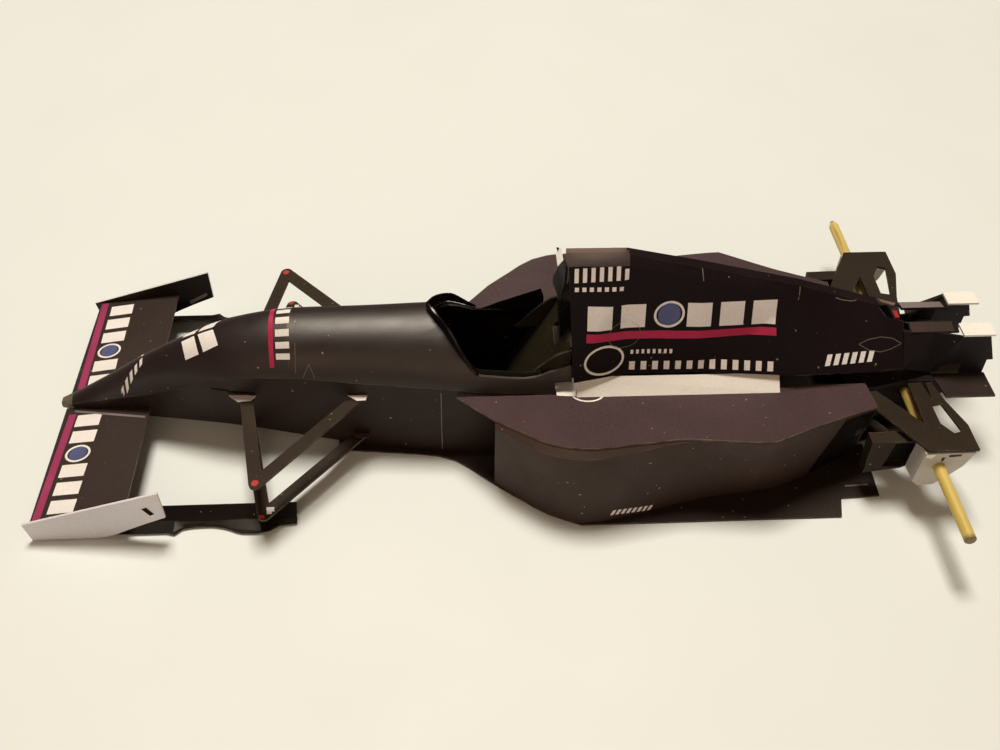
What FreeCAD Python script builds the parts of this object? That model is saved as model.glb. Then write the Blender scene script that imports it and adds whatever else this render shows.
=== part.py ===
"""Card scale model of an open wheel racing car, as it stands half finished on a table.

The model is folded and glued from printed card. It has no wheels and no rear wing, the roof of
its airbox is missing, and a wooden stick through the rear uprights serves as the rear axle.
Units are millimetres. +X points to the nose, +Y to the car's left, +Z up. The origin is on the
table, in the middle of the overall length and width. Stations are written as distances behind
the nose end and are turned into X by at().
"""

import FreeCAD, Part
import math
import os

V = FreeCAD.Vector

# Driving sizes of the whole car
OVERALL_LENGTH = 171.9
CARD = 0.4                    # thickness of the folded card
FIT_GAP = 0.1                 # gap left between glued pieces that aren't face to face
FLOOR_TOP = CARD              # the floor plate lies on the table

# Axle stick and the pieces it passes through
AXLE_RADIUS = 1.0
AXLE_TIP_LENGTH = 1.6
AXLE_RUNNING_GAP = 0.05
AXLE_OPENING_GAP = 0.3        # the gearbox only lets the stick pass
AXLE_SPAN = 82.6
AXLE_STATION = 156.5
AXLE_HEIGHT = 11.2

# Nose and cockpit skin
NOSE_END = 0.3                # the endplates reach further forward
NOSE_FRONT = 2.6
NOSE_JOINT = 45.0
TUB_JOINT = 71.2
TUB_REAR = 91.4
COWL_REAR = 94.3
COWL_TAIL_HEIGHT = 17.2       # behind the tub the skin only hangs down to here
ARCH_FACETS = 20              # flat facets across the rounded skin

# Cockpit
LINER_FRONT = 71.5
LINER_REAR = 89.0
LINER_GAP = 0.15
LINER_RISE = 0.5              # how far the liner shows above the rim
LINER_BASE_GAP = 0.3
SCREEN_WALL = 0.4
SEAT_FOOT = (82.4, 1.8)
SEAT_HEAD = (94.0, 23.4)
SEAT_WIDE = 8.7
SEAT_NARROW = 7.0
SEAT_SHOULDER_HEIGHT = 13.0
HEADREST_FOOT = (92.8, 19.4)
HEADREST_HEAD = (92.0, 29.8)
HEADREST_HALF_WIDTH = 2.3
BULKHEAD_FRONT = 94.7
BULKHEAD_TOP = 30.0

# Front wing
WING_HALF_SPAN = 27.4
WING_FRONT = 1.2
WING_REAR = 17.5
WING_FRONT_HEIGHT = 4.2
WING_REAR_HEIGHT = 6.3
FENCE_LENGTH = 24.4
FENCE_FRONT_HEIGHT = 4.7
FENCE_REAR_HEIGHT = 12.3
FENCE_LIFT = 0.3

# Front wishbones
WISHBONE_CARD = 0.5
FRONT_ARM_WIDTH = 2.3
ARM_TRIM = 0.8                # length that the tub's side trims off each arm
FRONT_HUB_STATION = 40.4
FRONT_HUB_REACH = 26.5
FRONT_UPPER_HEIGHT = 12.3
FRONT_LOWER_HEIGHT = 3.4

# Sidepods
POD_INNER = 10.7              # beside the tub
POD_INNER_REAR = 9.6          # behind the tub, where the top meets the glue flange
POD_INNER_HEIGHT = 15.2
POD_SLOPE = 0.16              # rise of the pod's top for each millimetre outward
POD_TIP = 74.0
POD_REAR = 147.5
BEVEL_REACH = 1.5
BEVEL_DROP = 0.8
FLANGE_FRONT = 91.6
FLANGE_REAR = 130.0
FLANGE_WIDTH = 3.6

# Engine cover
COVER_RAKE = 0.067            # the front edge leans forward, for each millimetre up
COVER_REAR = 154.4
AIRBOX_REAR = 103.6
AIRBOX_DEPTH = 9.0
ROOF_HALF_WIDTH = 2.4
ROOF_RISE = 1.35
TAIL_CUT_FRONT = 149.6
TAIL_WALL_FRONT = 152.7
LAMP_DEPTH = 1.2

# Rear end
GEARBOX_TOP = 13.9
GEARBOX_BASE = 5.6
FIN_FRONT = 154.5
FIN_TOP = 22.2
FIN_BOTTOM = 13.0
FIN_STEP = 15.4               # the fin's lower edge between the gearbox and the shelf's rear
FIN_OUTER = 6.1
FIN_LEAN = 0.4                # the top of each fin stands further in than its foot
TAB_WIDTH = 3.1
TAB_LENGTH = 5.8
TAB_SETBACK = 1.5             # from the car's rear end
DIFFUSER_HALF_WIDTH = 11.8
SHELF_FRONT = 161.3
SHELF_REAR = 171.2
SHELF_REACH = 12.0
UPRIGHT_OUTER = 26.0
UPRIGHT_INNER = 22.4
UPRIGHT_TOP = 15.1
DUCT_WIDTH = 2.4
DUCT_NICHE_DEPTH = 1.2
REAR_ARM_SLOPE = 0.105
REAR_LOWER_HEIGHT = 6.4


def at(u, y, z):
    """Point at u behind the nose end, y to the left and z above the table."""
    return V(OVERALL_LENGTH / 2.0 - u, y, z)


def loop(points):
    """Flat face inside a closed outline."""
    return Part.Face(Part.makePolygon(points + points[:1]))


def plan_plate(outline, z, thickness):
    """Level plate whose outline is given as (station, y)."""
    return loop([at(u, y, z) for u, y in outline]).extrude(V(0, 0, thickness))


def side_plate(outline, y, thickness):
    """Upright plate whose outline is given as (station, z)."""
    return loop([at(u, y, z) for u, z in outline]).extrude(V(0, thickness, 0))


def cross_plate(outline, u, thickness):
    """Plate across the car whose outline is given as (y, z)."""
    return loop([at(u, y, z) for y, z in outline]).extrude(V(-thickness, 0, 0))


def folded(sections):
    """Solid of flat facets through closed outlines that have the same number of corners."""
    faces = [loop(sections[0]), loop(sections[-1])]
    for first, second in zip(sections, sections[1:]):
        corners = zip(first, first[1:] + first[:1], second[1:] + second[:1], second)
        for a, b, c, d in corners:
            if (c - a).Length < (d - b).Length:
                faces += [loop([a, b, c]), loop([a, c, d])]
            else:
                faces += [loop([a, b, d]), loop([b, c, d])]
    solid = Part.makeSolid(Part.makeShell(faces))
    if solid.Volume < 0:
        solid.reverse()
    return solid.removeSplitter()


def mirrored(shape):
    """The same piece on the car's other side."""
    return shape.mirror(V(0, 0, 0), V(0, 1, 0))


def save(name, shape):
    """Write one piece, after a test that it is whole."""
    if len(shape.Solids) == 1:
        shape = shape.Solids[0]
    if not shape.isValid() or shape.Volume <= 0 or not shape.Solids:
        raise ValueError("piece is not a valid solid: " + name)
    os.makedirs("parts", exist_ok=True)
    shape.exportStep("parts/" + name + ".step")


def save_pair(name, left):
    """Write a piece of the left side and its mirror image."""
    save(name + "_left", left)
    save(name + "_right", mirrored(left))


def between(table, u):
    """Straight interpolation in rows that start with a station."""
    for low, high in zip(table, table[1:]):
        if u <= high[0]:
            break
    share = (u - low[0]) / (high[0] - low[0])
    return [a + share * (b - a) for a, b in zip(low[1:], high[1:])]


def closer(table, step):
    """The table with rows added between its own, on smooth lines that never swing past them."""
    chords = [[(b - a) / (high[0] - low[0]) for a, b in zip(low[1:], high[1:])]
              for low, high in zip(table, table[1:])]
    slopes = [[2.0 * a * b / (a + b) if a * b > 0 else 0.0 for a, b in zip(before, after)]
              for before, after in zip(chords[:1] + chords, chords + chords[-1:])]
    rows = []
    for low, high, leave, arrive in zip(table, table[1:], slopes, slopes[1:]):
        span = high[0] - low[0]
        count = max(1, round(span / step))
        for part in range(count):
            t = part / count
            rise = t * t * (3.0 - 2.0 * t)
            row = [low[0] + t * span]
            for a, b, out, into in zip(low[1:], high[1:], leave, arrive):
                bend = t * (1.0 - t) * ((1.0 - t) * out - t * into)
                row.append(a + (b - a) * rise + span * bend)
            rows.append(tuple(row))
    return rows + [tuple(table[-1])]


# The body's stations: (station, seam half width, seam height, top height, bottom half width,
# bottom height). The upper skin stands on the seam, the tub hangs below it.
BODY = closer([
    (2.6, 1.6, 6.0, 6.8, 1.4, 4.2),
    (10.0, 2.7, 8.2, 11.4, 2.4, 4.1),
    (18.0, 4.2, 10.7, 16.6, 3.5, 4.0),
    (26.0, 5.6, 14.0, 20.7, 4.4, 3.6),
    (34.0, 6.9, 17.6, 24.0, 5.4, 3.1),
    (45.0, 7.9, 18.0, 26.0, 7.1, 2.0),
    (58.0, 8.7, 17.0, 26.1, 8.6, FLOOR_TOP),
    (71.2, 9.8, 16.3, 26.3, 10.5, FLOOR_TOP),
    (78.0, 10.3, 15.8, 26.3, 10.9, FLOOR_TOP),
    (94.5, 10.6, 15.1, 26.4, 11.0, FLOOR_TOP),
], 4.0)


def arch_reach(u, z):
    """Half width of the upper skin's parabola at a height."""
    half_width, seam, top, _, _ = between(BODY, u)
    return half_width * math.sqrt((top - z) / (top - seam))


def arch_inset(u, depth):
    """How far the parabola's foot moves in when its crown drops by a depth."""
    half_width, seam, top, _, _ = between(BODY, u)
    slope = 2.0 * (top - seam) / half_width
    return depth * math.sqrt(1.0 + slope * slope) / slope


def arch_points(u, half_width, seam, top):
    """Corners over the car from the left seam to the right one, closer where it is steep."""
    points = []
    for step in range(ARCH_FACETS + 1):
        share = math.cos(math.pi * step / ARCH_FACETS)
        points.append(at(u, half_width * share, top - (top - seam) * share * share))
    return points


def arch_section(u):
    """Closed outline of the upper skin, one card thick."""
    half_width, seam, top, _, _ = between(BODY, u)
    outer = arch_points(u, half_width, seam, top)
    inner = arch_points(u, half_width - arch_inset(u, CARD), seam, top - CARD)
    return outer + inner[::-1]


def stations(first, last):
    """The body's stations from first to last, with both ends."""
    inside = [row[0] for row in BODY if first < row[0] < last]
    return [first] + inside + [last]


def skin(first, last):
    """Upper skin between two stations."""
    return folded([arch_section(u) for u in stations(first, last)])


def tub_side(u, z):
    """Outer half width of the tub's side at a height."""
    half_width, seam, _, bottom, low = between(BODY, u)
    return bottom + (half_width - bottom) * (z - low) / (seam - low)


# The rim of the cockpit in the side view, from the windscreen to the engine cover:
# (station, height, how far the windscreen's lip stands above it)
RIM = [(69.0, 26.6, 1.9), (70.0, 26.0, 1.9), (71.5, 25.1, 2.0), (73.0, 23.6, 2.0),
       (74.5, 21.7, 1.5), (76.0, 20.1, 0.9), (77.5, 18.6, 0.5), (79.0, 18.4, 0.0),
       (86.0, 17.9, 0.0), (88.1, 18.1, 0.0), (90.5, 18.8, 0.0), (91.4, 19.0, 0.0),
       (94.5, 20.0, 0.0)]
FINE_RIM = closer(RIM, 0.8)
SCREEN_REAR = 77.5
SKY = 45.0


def make_nose():
    save("nose_cone", skin(NOSE_FRONT, NOSE_JOINT))
    cowl = skin(NOSE_JOINT, COWL_REAR)
    rim = [row[:2] for row in FINE_RIM]
    opening = side_plate([(rim[0][0], SKY)] + rim + [(rim[-1][0], SKY)], -20.0, 40.0)
    step = side_plate([(TUB_REAR, FLOOR_TOP), (COWL_REAR + 1, FLOOR_TOP),
                       (COWL_REAR + 1, COWL_TAIL_HEIGHT), (TUB_REAR, COWL_TAIL_HEIGHT)],
                      -20.0, 40.0)
    save("cockpit_cowl", cowl.cut(opening).cut(step))


def tub_section(u):
    """Open trough of card below the seam."""
    half_width, seam, _, bottom, low = between(BODY, u)
    return [
        at(u, half_width, seam), at(u, bottom, low), at(u, -bottom, low), at(u, -half_width, seam),
        at(u, -half_width + CARD, seam), at(u, -bottom + CARD, low + CARD),
        at(u, bottom - CARD, low + CARD), at(u, half_width - CARD, seam)]


def tub_envelope():
    """The space inside the tub's outer faces, which trims what is glued to them."""
    sections = []
    for u in stations(NOSE_FRONT, TUB_JOINT):
        half_width, seam, _, bottom, low = between(BODY, u)
        sections.append([at(u, half_width, seam), at(u, bottom, low),
                         at(u, -bottom, low), at(u, -half_width, seam)])
    return folded(sections)


def make_tub():
    save("tub_front", folded([tub_section(u) for u in stations(NOSE_FRONT, TUB_JOINT)]))
    save("tub_rear", folded([tub_section(u) for u in stations(TUB_JOINT, TUB_REAR)]))


def make_nose_tip():
    half_width, seam, top, bottom, low = between(BODY, NOSE_FRONT)
    rear = [at(NOSE_FRONT, y, z) for y, z in (
        (half_width, seam), (half_width * 0.6, top - CARD), (-half_width * 0.6, top - CARD),
        (-half_width, seam), (-bottom, low), (bottom, low))]
    front = [at(NOSE_END, y, z) for y, z in (
        (0.9, 5.0), (0.6, 5.5), (-0.6, 5.5), (-0.9, 5.0), (-0.8, 4.3), (0.8, 4.3))]
    save("nose_tip", folded([front, rear]))


def liner_section(u):
    """Trough inside the tub whose sides follow the skin up to just above the rim."""
    half_width, seam, top, bottom, low = between(BODY, u)
    crown = top - CARD - LINER_GAP
    foot = half_width - arch_inset(u, CARD + LINER_GAP)
    rim = between(RIM, u)[0] + LINER_RISE
    reach = foot * math.sqrt(max(crown - rim, 0.5) / (crown - seam))
    base = low + CARD + LINER_BASE_GAP
    side = [(bottom - CARD - LINER_BASE_GAP, base)]
    for step in range(6):
        y = foot + (reach - foot) * step / 5.0
        side.append((y, crown - (crown - seam) * (y / foot) ** 2))
    inside = [(y - CARD, z) for y, z in side]
    inside[0] = (side[0][0] - CARD, base + CARD)
    left = [at(u, y, z) for y, z in side[::-1]] + [at(u, -y, z) for y, z in side]
    return left + [at(u, -y, z) for y, z in inside[::-1]] + [at(u, y, z) for y, z in inside]


def screen_section(side, row):
    """Section of the windscreen lip, which stands inside the rim."""
    u, z, lip = row
    top = between(BODY, u)[2]
    z = min(z, top)
    y = side * arch_reach(u, z)
    u = u + FIT_GAP
    return [at(u, y, z + 0.02), at(u + SCREEN_WALL, y, z + 0.02),
            at(u + SCREEN_WALL, y, z + lip), at(u, y, z + lip)]


def make_cockpit():
    save("cockpit_liner", folded([liner_section(row[0]) for row in RIM
                                  if LINER_FRONT <= row[0] <= LINER_REAR] +
                                 [liner_section(LINER_REAR)]))
    rows = [row for row in FINE_RIM if row[0] <= SCREEN_REAR]
    path = [screen_section(1, row) for row in rows[::-1]]
    path += [screen_section(-1, row) for row in rows[1:]]
    save("windscreen", folded(path))

    rise = (SEAT_HEAD[0] - SEAT_FOOT[0]) / (SEAT_HEAD[1] - SEAT_FOOT[1])
    half = [(SEAT_WIDE, SEAT_FOOT[1]), (SEAT_WIDE, SEAT_SHOULDER_HEIGHT),
            (SEAT_NARROW, SEAT_SHOULDER_HEIGHT + 1.3), (SEAT_NARROW, SEAT_HEAD[1])]
    outline = [at(SEAT_FOOT[0] + rise * (z - SEAT_FOOT[1]), y, z)
               for y, z in half + [(-y, z) for y, z in half[::-1]]]
    seat = loop(outline).extrude(V(-CARD, 0, 0))
    room = HEADREST_HALF_WIDTH + FIT_GAP
    seat = seat.cut(side_plate([(HEADREST_FOOT[0] - 3, HEADREST_FOOT[1] - FIT_GAP),
                                (HEADREST_FOOT[0] + 3, HEADREST_FOOT[1] - FIT_GAP),
                                (HEADREST_FOOT[0] + 3, SKY), (HEADREST_FOOT[0] - 3, SKY)],
                               -room, 2 * room))
    save("seat_back", seat)
    cheek = side_plate([(85.2, 14.9), (93.8, 14.9), (94.2, 22.9), (91.8, 21.9), (90.3, 20.6),
                        (88.2, 18.4), (86.5, 16.2)], SEAT_NARROW + FIT_GAP, CARD)
    save_pair("cockpit_side", cheek)


# Engine cover stations: (station, bottom half width, bottom height, ridge height)
COVER = [
    (94.5, 10.9, 18.3, 39.0),
    (103.6, 10.8, 18.2, 38.9),
    (116.5, 10.7, 18.2, 35.8),
    (134.5, 10.7, 17.9, 31.1),
    (149.6, 9.0, 17.2, 26.2),
    (154.4, 8.0, 16.8, 24.6),
]


def cover_half_width(row, z):
    """Outer half width of the cover at a height."""
    _, half_width, low, ridge = row
    share = (z - low) / (ridge - ROOF_RISE - low)
    return half_width + share * (ROOF_HALF_WIDTH - half_width)


def cover_section(row, rake=0.0):
    """Closed outline of the cover, one card thick, with two flat sides and a folded roof."""
    u, half_width, low, ridge = row
    shoulder = ridge - ROOF_RISE
    narrow = ROOF_HALF_WIDTH
    crown = ridge - 0.2
    outer = [(half_width, low), (narrow, shoulder), (narrow * 0.4, crown)]
    inner = [(narrow * 0.4 - 0.1, crown - CARD), (narrow - CARD * 0.8, shoulder - CARD * 0.6),
             (half_width - CARD * 1.1, low)]
    half = outer + [(-y, z) for y, z in outer[::-1]]
    back = [(-y, z) for y, z in inner[::-1]] + inner
    return [at(u - rake * (z - low), y, z) for y, z in half + back]


def make_engine_cover():
    cover = folded([cover_section(COVER[0], COVER_RAKE)] + [cover_section(row) for row in COVER[1:]])
    ridge = COVER[0][3]
    front = COVER[0][0] - 5.0
    front_gap = side_plate([(front, ridge - AIRBOX_DEPTH), (AIRBOX_REAR, ridge - AIRBOX_DEPTH),
                            (AIRBOX_REAR, SKY), (front, SKY)],
                           -ROOF_HALF_WIDTH, 2 * ROOF_HALF_WIDTH)
    rear_gap = side_plate([(TAIL_CUT_FRONT, SKY), (TAIL_CUT_FRONT, 25.6), (COVER_REAR + 1, 20),
                           (COVER_REAR + 1, SKY)], -ROOF_HALF_WIDTH, 2 * ROOF_HALF_WIDTH)
    save("engine_cover", cover.cut(front_gap).cut(rear_gap))


# The strip in front of the open airbox: (height, station of its near edge, of its far edge).
# It hangs loose on the car's right side, where it curls forward.
AIRBOX_STRIP = [
    (30.0, 92.1, 91.3), (31.5, 92.3, 91.3), (33.0, 92.6, 91.9), (34.5, 92.7, 92.2),
    (36.0, 92.7, 92.1), (37.2, 92.7, 91.7), (37.9, 92.6, 91.5),
]


def make_rear_wall():
    front = COVER[0]
    inside = CARD * 1.1 + FIT_GAP
    wide = front[1] - inside
    high = cover_half_width(front, BULKHEAD_TOP) - inside
    foot = POD_INNER_REAR - FLANGE_WIDTH - FIT_GAP
    outline = [(foot, FLOOR_TOP), (foot, front[2]), (wide, front[2]), (high, BULKHEAD_TOP)]
    outline = outline + [(-y, z) for y, z in outline[::-1]]
    save("bulkhead", cross_plate(outline, BULKHEAD_FRONT, CARD))

    profile = [HEADREST_FOOT, HEADREST_HEAD, (BULKHEAD_FRONT, HEADREST_HEAD[1]),
               (BULKHEAD_FRONT, HEADREST_FOOT[1])]
    box = side_plate(profile, -HEADREST_HALF_WIDTH, 2 * HEADREST_HALF_WIDTH)
    room = HEADREST_HALF_WIDTH - CARD
    inside = [(profile[0][0] + CARD, profile[0][1] - 1), (profile[1][0] + CARD, profile[1][1] - CARD),
              (BULKHEAD_FRONT + 1, profile[2][1] - CARD), (BULKHEAD_FRONT + 1, profile[3][1] - 1)]
    save("headrest", box.cut(side_plate(inside, -room, 2 * room)))

    sections = []
    for z, near, far in AIRBOX_STRIP:
        sections.append([at(near, ROOF_HALF_WIDTH, z), at(near + CARD, ROOF_HALF_WIDTH, z),
                         at(far + CARD, -ROOF_HALF_WIDTH, z), at(far, -ROOF_HALF_WIDTH, z)])
    save("airbox_front", folded(sections))


# Sidepod outlines. The top's outer edge and the wall's foot share the same stations:
# (station, top edge, foot, bevel share)
POD = closer([
    (80.5, 17.2, 18.5, 0.75),
    (84.8, 20.3, 22.1, 1.0),
    (89.8, 23.7, 25.7, 1.0),
    (95.6, 25.0, 28.0, 1.0),
    (105.3, 24.0, 26.4, 0.6),
    (112.5, 23.3, 24.5, 0.15),
    (119.5, 24.0, 23.0, 0.05),
    (127.2, 24.6, 22.1, 0.05),
    (131.0, 22.9, 21.4, 0.05),
    (136.8, 20.3, 19.2, 0.05),
    (141.0, 18.7, 17.2, 0.05),
    (147.5, 16.4, 14.2, 0.05),
], 2.6)


def pod_height(y):
    """Underside of the pod's sloping top."""
    return POD_INNER_HEIGHT - CARD + POD_SLOPE * (y - POD_INNER)


def pod_wall_section(row):
    u, edge, foot, bevel = row
    top = pod_height(edge)
    shoulder_y = edge + BEVEL_REACH * bevel
    shoulder_z = top - BEVEL_DROP * bevel
    outer = [(foot, FLOOR_TOP), (shoulder_y, shoulder_z), (edge, top)]
    inner = [(edge - CARD, pod_height(edge - CARD)), (shoulder_y - CARD, shoulder_z - CARD),
             (foot - CARD, FLOOR_TOP)]
    return [at(u, y, z) for y, z in outer + inner]


def make_sidepods():
    outline = [(POD_TIP, POD_INNER)] + [row[:2] for row in POD]
    outline += [(POD_REAR, POD_INNER_REAR), (FLANGE_FRONT, POD_INNER_REAR), (FLANGE_FRONT, POD_INNER)]
    low = [at(u, y, pod_height(y)) for u, y in outline]
    save_pair("sidepod_top", loop(low).extrude(V(0, 0, CARD)))
    save_pair("sidepod_side", folded([pod_wall_section(row) for row in POD]))
    inner = POD_INNER_REAR - FLANGE_WIDTH
    flange = [(FLANGE_FRONT, inner), (FLANGE_FRONT, POD_INNER_REAR),
              (FLANGE_REAR + 1.6, POD_INNER_REAR), (FLANGE_REAR, inner)]
    low = [at(u, y, pod_height(y)) for u, y in flange]
    save_pair("glue_flange", loop(low).extrude(V(0, 0, CARD)))


# Floor plate outline of the left half, as (station, y): a curve under the tub and the pod's
# front, then straight edges
FLOOR = closer([(51.8, 9.5), (57.0, 10.2), (65.0, 11.0), (70.4, 11.8), (73.5, 13.0), (78.2, 16.8),
                (80.2, 18.5), (84.8, 22.1), (89.8, 25.7), (95.5, 28.2)], 2.6)
FLOOR += [(141.9, 28.2), (142.9, 24.2), (150.0, 23.9), (150.4, 12.0), (144.0, 12.0)]


def make_floor():
    outline = FLOOR + [(u, -y) for u, y in reversed(FLOOR)]
    save("floor_plate", plan_plate(outline, 0.0, CARD))
    profile = [(FLOOR[-1][0] + FIT_GAP, 0.0), (150.0, 0.9), (159.5, 4.4)]
    profile = profile + [(u, z + CARD) for u, z in profile[::-1]]
    save("diffuser", side_plate(profile, -DIFFUSER_HALF_WIDTH, 2 * DIFFUSER_HALF_WIDTH))


# Gearbox outline of the left half, as (station, y)
GEARBOX = [(144.5, 10.4), (149.5, 10.2), (155.5, 8.5), (160.8, 8.5), (161.0, 5.6), (165.5, 5.6)]


def make_gearbox():
    outline = GEARBOX + [(u, -y) for u, y in reversed(GEARBOX)]
    height = GEARBOX_TOP - GEARBOX_BASE
    block = plan_plate(outline, GEARBOX_BASE, height)
    inside = [(u - CARD, y - CARD) for u, y in GEARBOX]
    inside = inside + [(u, -y) for u, y in reversed(inside)]
    hollow = plan_plate(inside, GEARBOX_BASE + CARD, height - 2 * CARD)
    opening = Part.makeCylinder(AXLE_RADIUS + AXLE_OPENING_GAP, 40.0,
                                at(AXLE_STATION, -20.0, AXLE_HEIGHT), V(0, 1, 0))
    save("gearbox", block.cut(hollow).cut(opening))


# Rear fins, in the side view
FIN_OUTLINE = [(FIN_FRONT, SKY), (OVERALL_LENGTH - 2.3, SKY), (OVERALL_LENGTH - 2.3, FIN_TOP),
               (OVERALL_LENGTH, FIN_TOP - 5.7), (OVERALL_LENGTH - 1.1, FIN_TOP - 5.8),
               (OVERALL_LENGTH - 0.5, 1.0), (166.6, 1.0), (166.6, FIN_STEP), (162.0, FIN_STEP),
               (160.9, 1.0), (FIN_FRONT, 1.0)]
# Open gap behind the strip along the right fin's top
FIN_WINDOW = [(155.9, FIN_TOP - 1.9), (162.5, FIN_TOP - 2.0), (158.9, FIN_TOP - 5.8),
              (156.9, FIN_TOP - 5.5)]
# The strip that joins the fin to its tab: (y, height) of its inner and outer edge
FIN_STRIP = [(1.7, FIN_TOP + 0.25), (4.05, FIN_TOP - 0.35)]
FIN_STRIP_FRONT = 155.6


def make_fins():
    top_y = FIN_OUTER - FIN_LEAN
    strip_y, strip_z = FIN_STRIP[1]
    rear = OVERALL_LENGTH - TAB_SETBACK
    rows = [(FIN_FRONT, 3.7, strip_z, 8.0, FIN_BOTTOM + 3.8),
            (160.0, strip_y, strip_z, 6.9, FIN_BOTTOM + 1.6),
            (rear - TAB_LENGTH, top_y, FIN_TOP, FIN_OUTER, FIN_BOTTOM + 0.2),
            (OVERALL_LENGTH + 0.3, top_y, FIN_TOP, FIN_OUTER, FIN_BOTTOM)]
    sections = []
    for u, high_y, top, low_y, low in rows:
        sections.append([at(u, high_y, top), at(u, low_y, low),
                         at(u, low_y - CARD, low), at(u, high_y - CARD, top)])
    fin = folded(sections).common(side_plate(FIN_OUTLINE, 0.0, 20.0))
    strip = [FIN_STRIP[0], FIN_STRIP[1], (strip_y - 0.1, strip_z - CARD),
             (FIN_STRIP[0][0], FIN_STRIP[0][1] - CARD)]
    strip = cross_plate(strip, FIN_STRIP_FRONT, rear - TAB_LENGTH - FIT_GAP - FIN_STRIP_FRONT)
    fin = fin.fuse(strip).removeSplitter()
    save("rear_fin_left", fin)
    save("rear_fin_right", mirrored(fin.cut(side_plate(FIN_WINDOW, 0.0, 20.0))))
    tab = plan_plate([(rear - TAB_LENGTH, top_y), (rear, top_y), (rear, top_y - TAB_WIDTH),
                      (rear - TAB_LENGTH, top_y - TAB_WIDTH)], FIN_TOP, CARD)
    save_pair("wing_tab", tab)
    inner = FIN_OUTER + FIT_GAP
    shelf = plan_plate([(SHELF_FRONT, inner), (SHELF_REAR, inner), (SHELF_REAR, SHELF_REACH),
                        (SHELF_FRONT + 0.9, SHELF_REACH)], FIN_BOTTOM, CARD)
    save_pair("rear_shelf", shelf)


def make_tail_wall():
    u = TAIL_WALL_FRONT
    half_width, low, ridge = between(COVER, u)
    shoulder = ridge - ROOF_RISE
    wide = half_width - CARD * 1.1 - 2 * FIT_GAP
    narrow = ROOF_HALF_WIDTH - CARD * 0.8 - 2 * FIT_GAP
    top = shoulder - CARD * 0.6 - 2 * FIT_GAP
    save("tail_wall", cross_plate([(wide, low), (narrow, top), (-narrow, top), (-wide, low)], u, CARD))
    lamp = side_plate([(u + CARD, top - 2.9), (u + CARD + LAMP_DEPTH, top - 2.9),
                       (u + CARD + LAMP_DEPTH, top - 0.6), (u + CARD, top - 0.6)], -0.9, 1.8)
    save("tail_lamp", lamp)


def arm(start, end, width, normal):
    """Flat strip of card between two points."""
    along = (end - start).normalize()
    across = along.cross(normal).normalize() * (width / 2.0)
    return loop([start + across, end + across, end - across, start - across])


def wishbone(hub, front, rear, width, thickness):
    """Flat card V: two arms that meet at a round hub end."""
    normal = (front - hub).cross(rear - hub).normalize()
    if normal.z < 0:
        normal = normal * -1.0
    lift = normal * thickness
    arms = [arm(hub, end, width, normal).extrude(lift) for end in (front, rear)]
    disc = Part.makeCylinder(width / 2.0, thickness, hub, normal)
    return arms[0].fuse([arms[1], disc]).removeSplitter()


def make_front_suspension():
    tub = tub_envelope()
    for name, hub_z, front, rear in (
            ("upper", FRONT_UPPER_HEIGHT, (36.2, 12.0), (57.4, 13.5)),
            ("lower", FRONT_LOWER_HEIGHT, (35.2, 3.6), (57.2, 3.4))):
        hub = at(FRONT_HUB_STATION, FRONT_HUB_REACH, hub_z)
        ends = [at(u, tub_side(u, z) - ARM_TRIM, z) for u, z in (front, rear)]
        piece = wishbone(hub, ends[0], ends[1], FRONT_ARM_WIDTH, WISHBONE_CARD).cut(tub)
        save_pair("front_wishbone_" + name, piece)


# The endplate's outline in the side view: straight in front and on top, hollowed low down at
# the rear, where the footplate shows under it
FENCE_HOLLOW = closer([(11.0, FENCE_LIFT), (13.6, 0.7), (17.0, 2.3), (20.5, 4.0), (24.3, 5.7)], 1.2)
# Outer edge of the curled plates under and behind the endplates: (station, distance past the
# wing's end)
FOOTPLATE = closer([(8.0, -0.1), (23.2, -0.1), (24.6, 0.3), (25.8, -0.8), (28.0, -1.15),
                    (30.6, -1.2), (33.3, -0.7), (36.3, 0.4), (38.8, 0.5), (41.0, 0.1),
                    (42.6, -0.9), (45.6, -1.3)], 1.0)


def make_front_wing():
    root = tub_side(WING_REAR, WING_REAR_HEIGHT + CARD) + FIT_GAP
    wing_low = [at(WING_FRONT, 1.4, WING_FRONT_HEIGHT),
                at(WING_FRONT, WING_HALF_SPAN, WING_FRONT_HEIGHT),
                at(WING_REAR, WING_HALF_SPAN, WING_REAR_HEIGHT), at(WING_REAR, root, WING_REAR_HEIGHT)]
    save_pair("front_wing", loop(wing_low).extrude(V(0, 0, CARD)))
    fence = [(0.5, FENCE_LIFT), (0.0, FENCE_FRONT_HEIGHT), (FENCE_LENGTH, FENCE_REAR_HEIGHT)]
    fence += FENCE_HOLLOW[::-1]
    save_pair("endplate", side_plate(fence, WING_HALF_SPAN, CARD))
    sections = []
    for u, edge in FOOTPLATE:
        outer = [(WING_HALF_SPAN - 4.0, 2.7), (WING_HALF_SPAN - 2.1, 0.85),
                 (WING_HALF_SPAN + edge, 0.35)]
        sections.append([at(u, y, z) for y, z in outer] +
                        [at(u, y, z + CARD) for y, z in outer[::-1]])
    save_pair("footplate", folded(sections))


# Rear wishbone outline of the left side, as (station, y)
REAR_ARMS = [(146.4, 10.6), (146.6, 13.3), (153.6, 26.0), (162.3, 26.0), (162.7, 19.9),
             (161.1, 13.7), (160.4, 8.7), (159.3, 8.7), (158.9, 13.4), (158.4, 8.7),
             (156.0, 8.7), (155.2, 19.4), (149.6, 10.6)]
REAR_ARM_WINDOW = [(158.2, 14.8), (160.0, 14.4), (161.0, 21.4), (159.5, 21.9), (158.0, 19.4)]
REAR_LOWER_ARMS = [(148.0, 10.6), (148.0, 12.6), (154.6, 22.2), (157.4, 22.2), (160.6, 10.9),
                   (160.6, 8.7), (158.6, 8.7), (156.2, 18.6), (150.6, 10.6)]
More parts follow.
